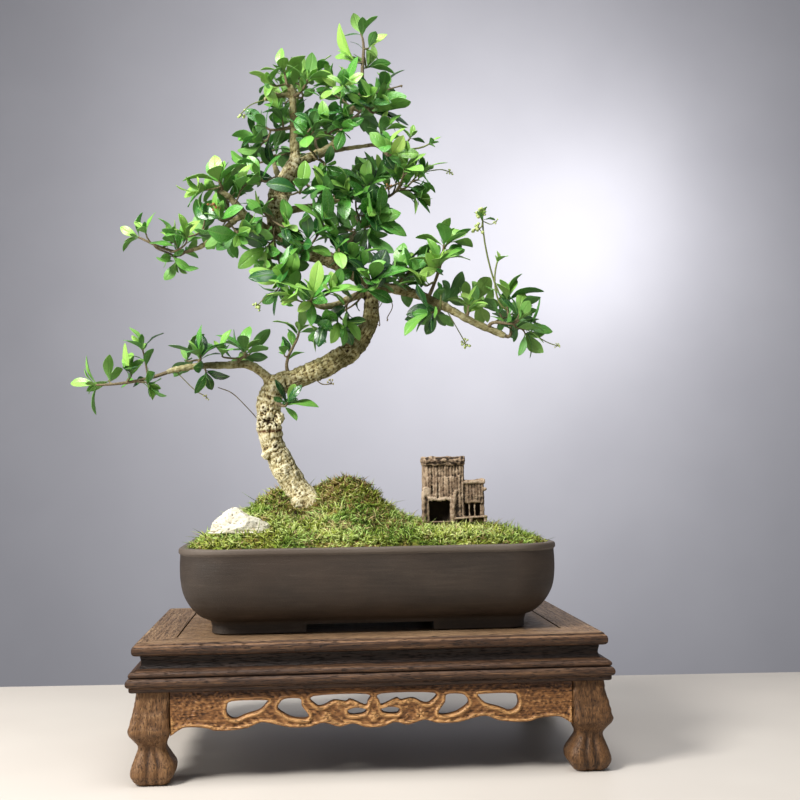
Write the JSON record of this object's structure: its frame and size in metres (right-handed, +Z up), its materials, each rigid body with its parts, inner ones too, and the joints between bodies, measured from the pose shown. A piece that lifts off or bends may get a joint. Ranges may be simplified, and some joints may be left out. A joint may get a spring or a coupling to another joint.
{
  "type": "fukien tea bonsai",
  "caption": "Leaning small-leaved bonsai in a mossed rectangular clay pot with a pale stone and a clay hut, standing on a low carved wooden display stand.",
  "frame": {"origin": "on the floor, under the middle of the whole object's box", "axes": "+Z up, +X to the right in the front view, +Y away from the viewer"},
  "size_m": [0.4258, 0.243, 0.6299],
  "materials": {
    "carved_wood": "satin varnish",
    "dark_wood": "satin varnish",
    "pot_clay": "unglazed, matte",
    "soil": "loose earth",
    "moss": "soft, matte",
    "white_stone": "rough, matte",
    "hut_clay": "fired clay, matte",
    "bark": "natural bark, matte",
    "leaf_green": "living leaf, satin"
  },
  "bodies": {
    "root": {"stand_panel": "dark_wood", "stand_frame_front": "dark_wood", "stand_frame_right": "dark_wood", "stand_frame_back": "dark_wood", "stand_frame_left": "dark_wood", "stand_rail_front": "dark_wood", "stand_rail_right": "dark_wood", "stand_rail_back": "dark_wood", "stand_rail_left": "dark_wood", "stand_apron_front": "carved_wood", "stand_apron_right": "carved_wood", "stand_apron_back": "carved_wood", "stand_apron_left": "carved_wood", "stand_leg_front_left": "carved_wood", "stand_leg_front_right": "carved_wood", "stand_leg_back_left": "carved_wood", "stand_leg_back_right": "carved_wood", "pot": "pot_clay", "soil": "soil", "moss": "moss", "stone": "white_stone", "clay_hut": "hut_clay", "trunk": "bark", "leaves_apex_left": "leaf_green", "leaves_apex_centre": "leaf_green", "leaves_apex_middle": "leaf_green", "leaves_apex_top": "leaf_green", "leaves_apex_right": "leaf_green", "leaves_apex_back": "leaf_green", "leaves_apex_left_low": "leaf_green", "leaves_crown_front": "leaf_green", "leaves_crown_under": "leaf_green", "leaves_crown_back": "leaf_green", "leaves_right_mid": "leaf_green", "leaves_mid_right_end": "leaf_green", "leaves_mid_right_inner": "leaf_green", "leaves_mid_right_back": "leaf_green", "leaves_mid_front": "leaf_green", "leaves_trunk_left_up": "leaf_green", "leaves_left_upper_tip": "leaf_green", "leaves_left_upper_mid": "leaf_green", "leaves_far_left": "leaf_green", "leaves_centre_left": "leaf_green", "leaves_centre_front_top": "leaf_green", "leaves_centre_front": "leaf_green", "leaves_centre_right": "leaf_green", "leaves_centre_low": "leaf_green", "leaves_back_mid": "leaf_green", "leaves_back_upper": "leaf_green", "leaves_right_inner": "leaf_green", "leaves_right_rosette": "leaf_green", "leaves_right_under": "leaf_green", "leaves_right_mid_rosette": "leaf_green", "leaves_right_big": "leaf_green", "leaves_right_end": "leaf_green", "leaves_low_left_tip": "leaf_green", "leaves_low_left_mid": "leaf_green", "leaves_low_left_near": "leaf_green", "leaves_sprout": "leaf_green", "leaves_trunk_sprout": "leaf_green"}
  },
  "joints": []
}
